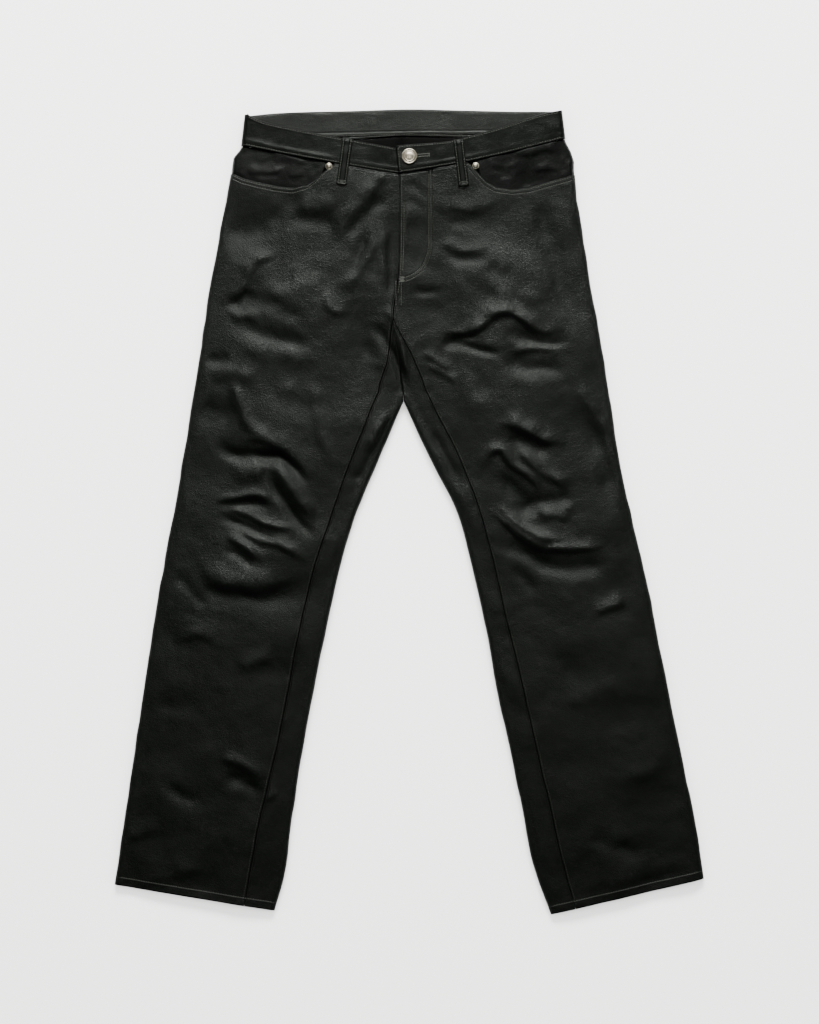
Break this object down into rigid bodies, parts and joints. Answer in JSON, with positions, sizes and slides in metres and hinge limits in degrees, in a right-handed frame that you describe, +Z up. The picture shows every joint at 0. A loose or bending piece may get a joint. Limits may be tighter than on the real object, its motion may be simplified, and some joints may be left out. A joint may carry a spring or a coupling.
{
  "type": "leather trousers",
  "caption": "Straight-leg leather trousers laid flat with the front up: waistband, belt loops, curved front pockets, lapped fly, shank button and open hems.",
  "frame": {"origin": "centre of the bounding box's base, on the surface that the garment lies on", "axes": "+Y from the hems to the waist, +X to the wearer's left, +Z up out of the front"},
  "size_m": [0.7496, 1.0244, 0.0207],
  "materials": {
    "leather": "smooth black cowhide, semi-matt, finely grained",
    "nickel": "nickel-plated, satin"
  },
  "bodies": {
    "root": {"right_front": "leather", "left_front": "leather", "right_back": "leather", "left_back": "leather", "right_pocket_facing": "leather", "left_pocket_facing": "leather", "right_waistband": "leather", "left_waistband": "leather", "back_waistband": "leather", "right_belt_loop": "leather", "left_belt_loop": "leather", "right_back_belt_loop": "leather", "centre_back_belt_loop": "leather", "left_back_belt_loop": "leather", "waist_button": "nickel", "right_pocket_rivet": "nickel", "left_pocket_rivet": "nickel"}
  },
  "joints": []
}
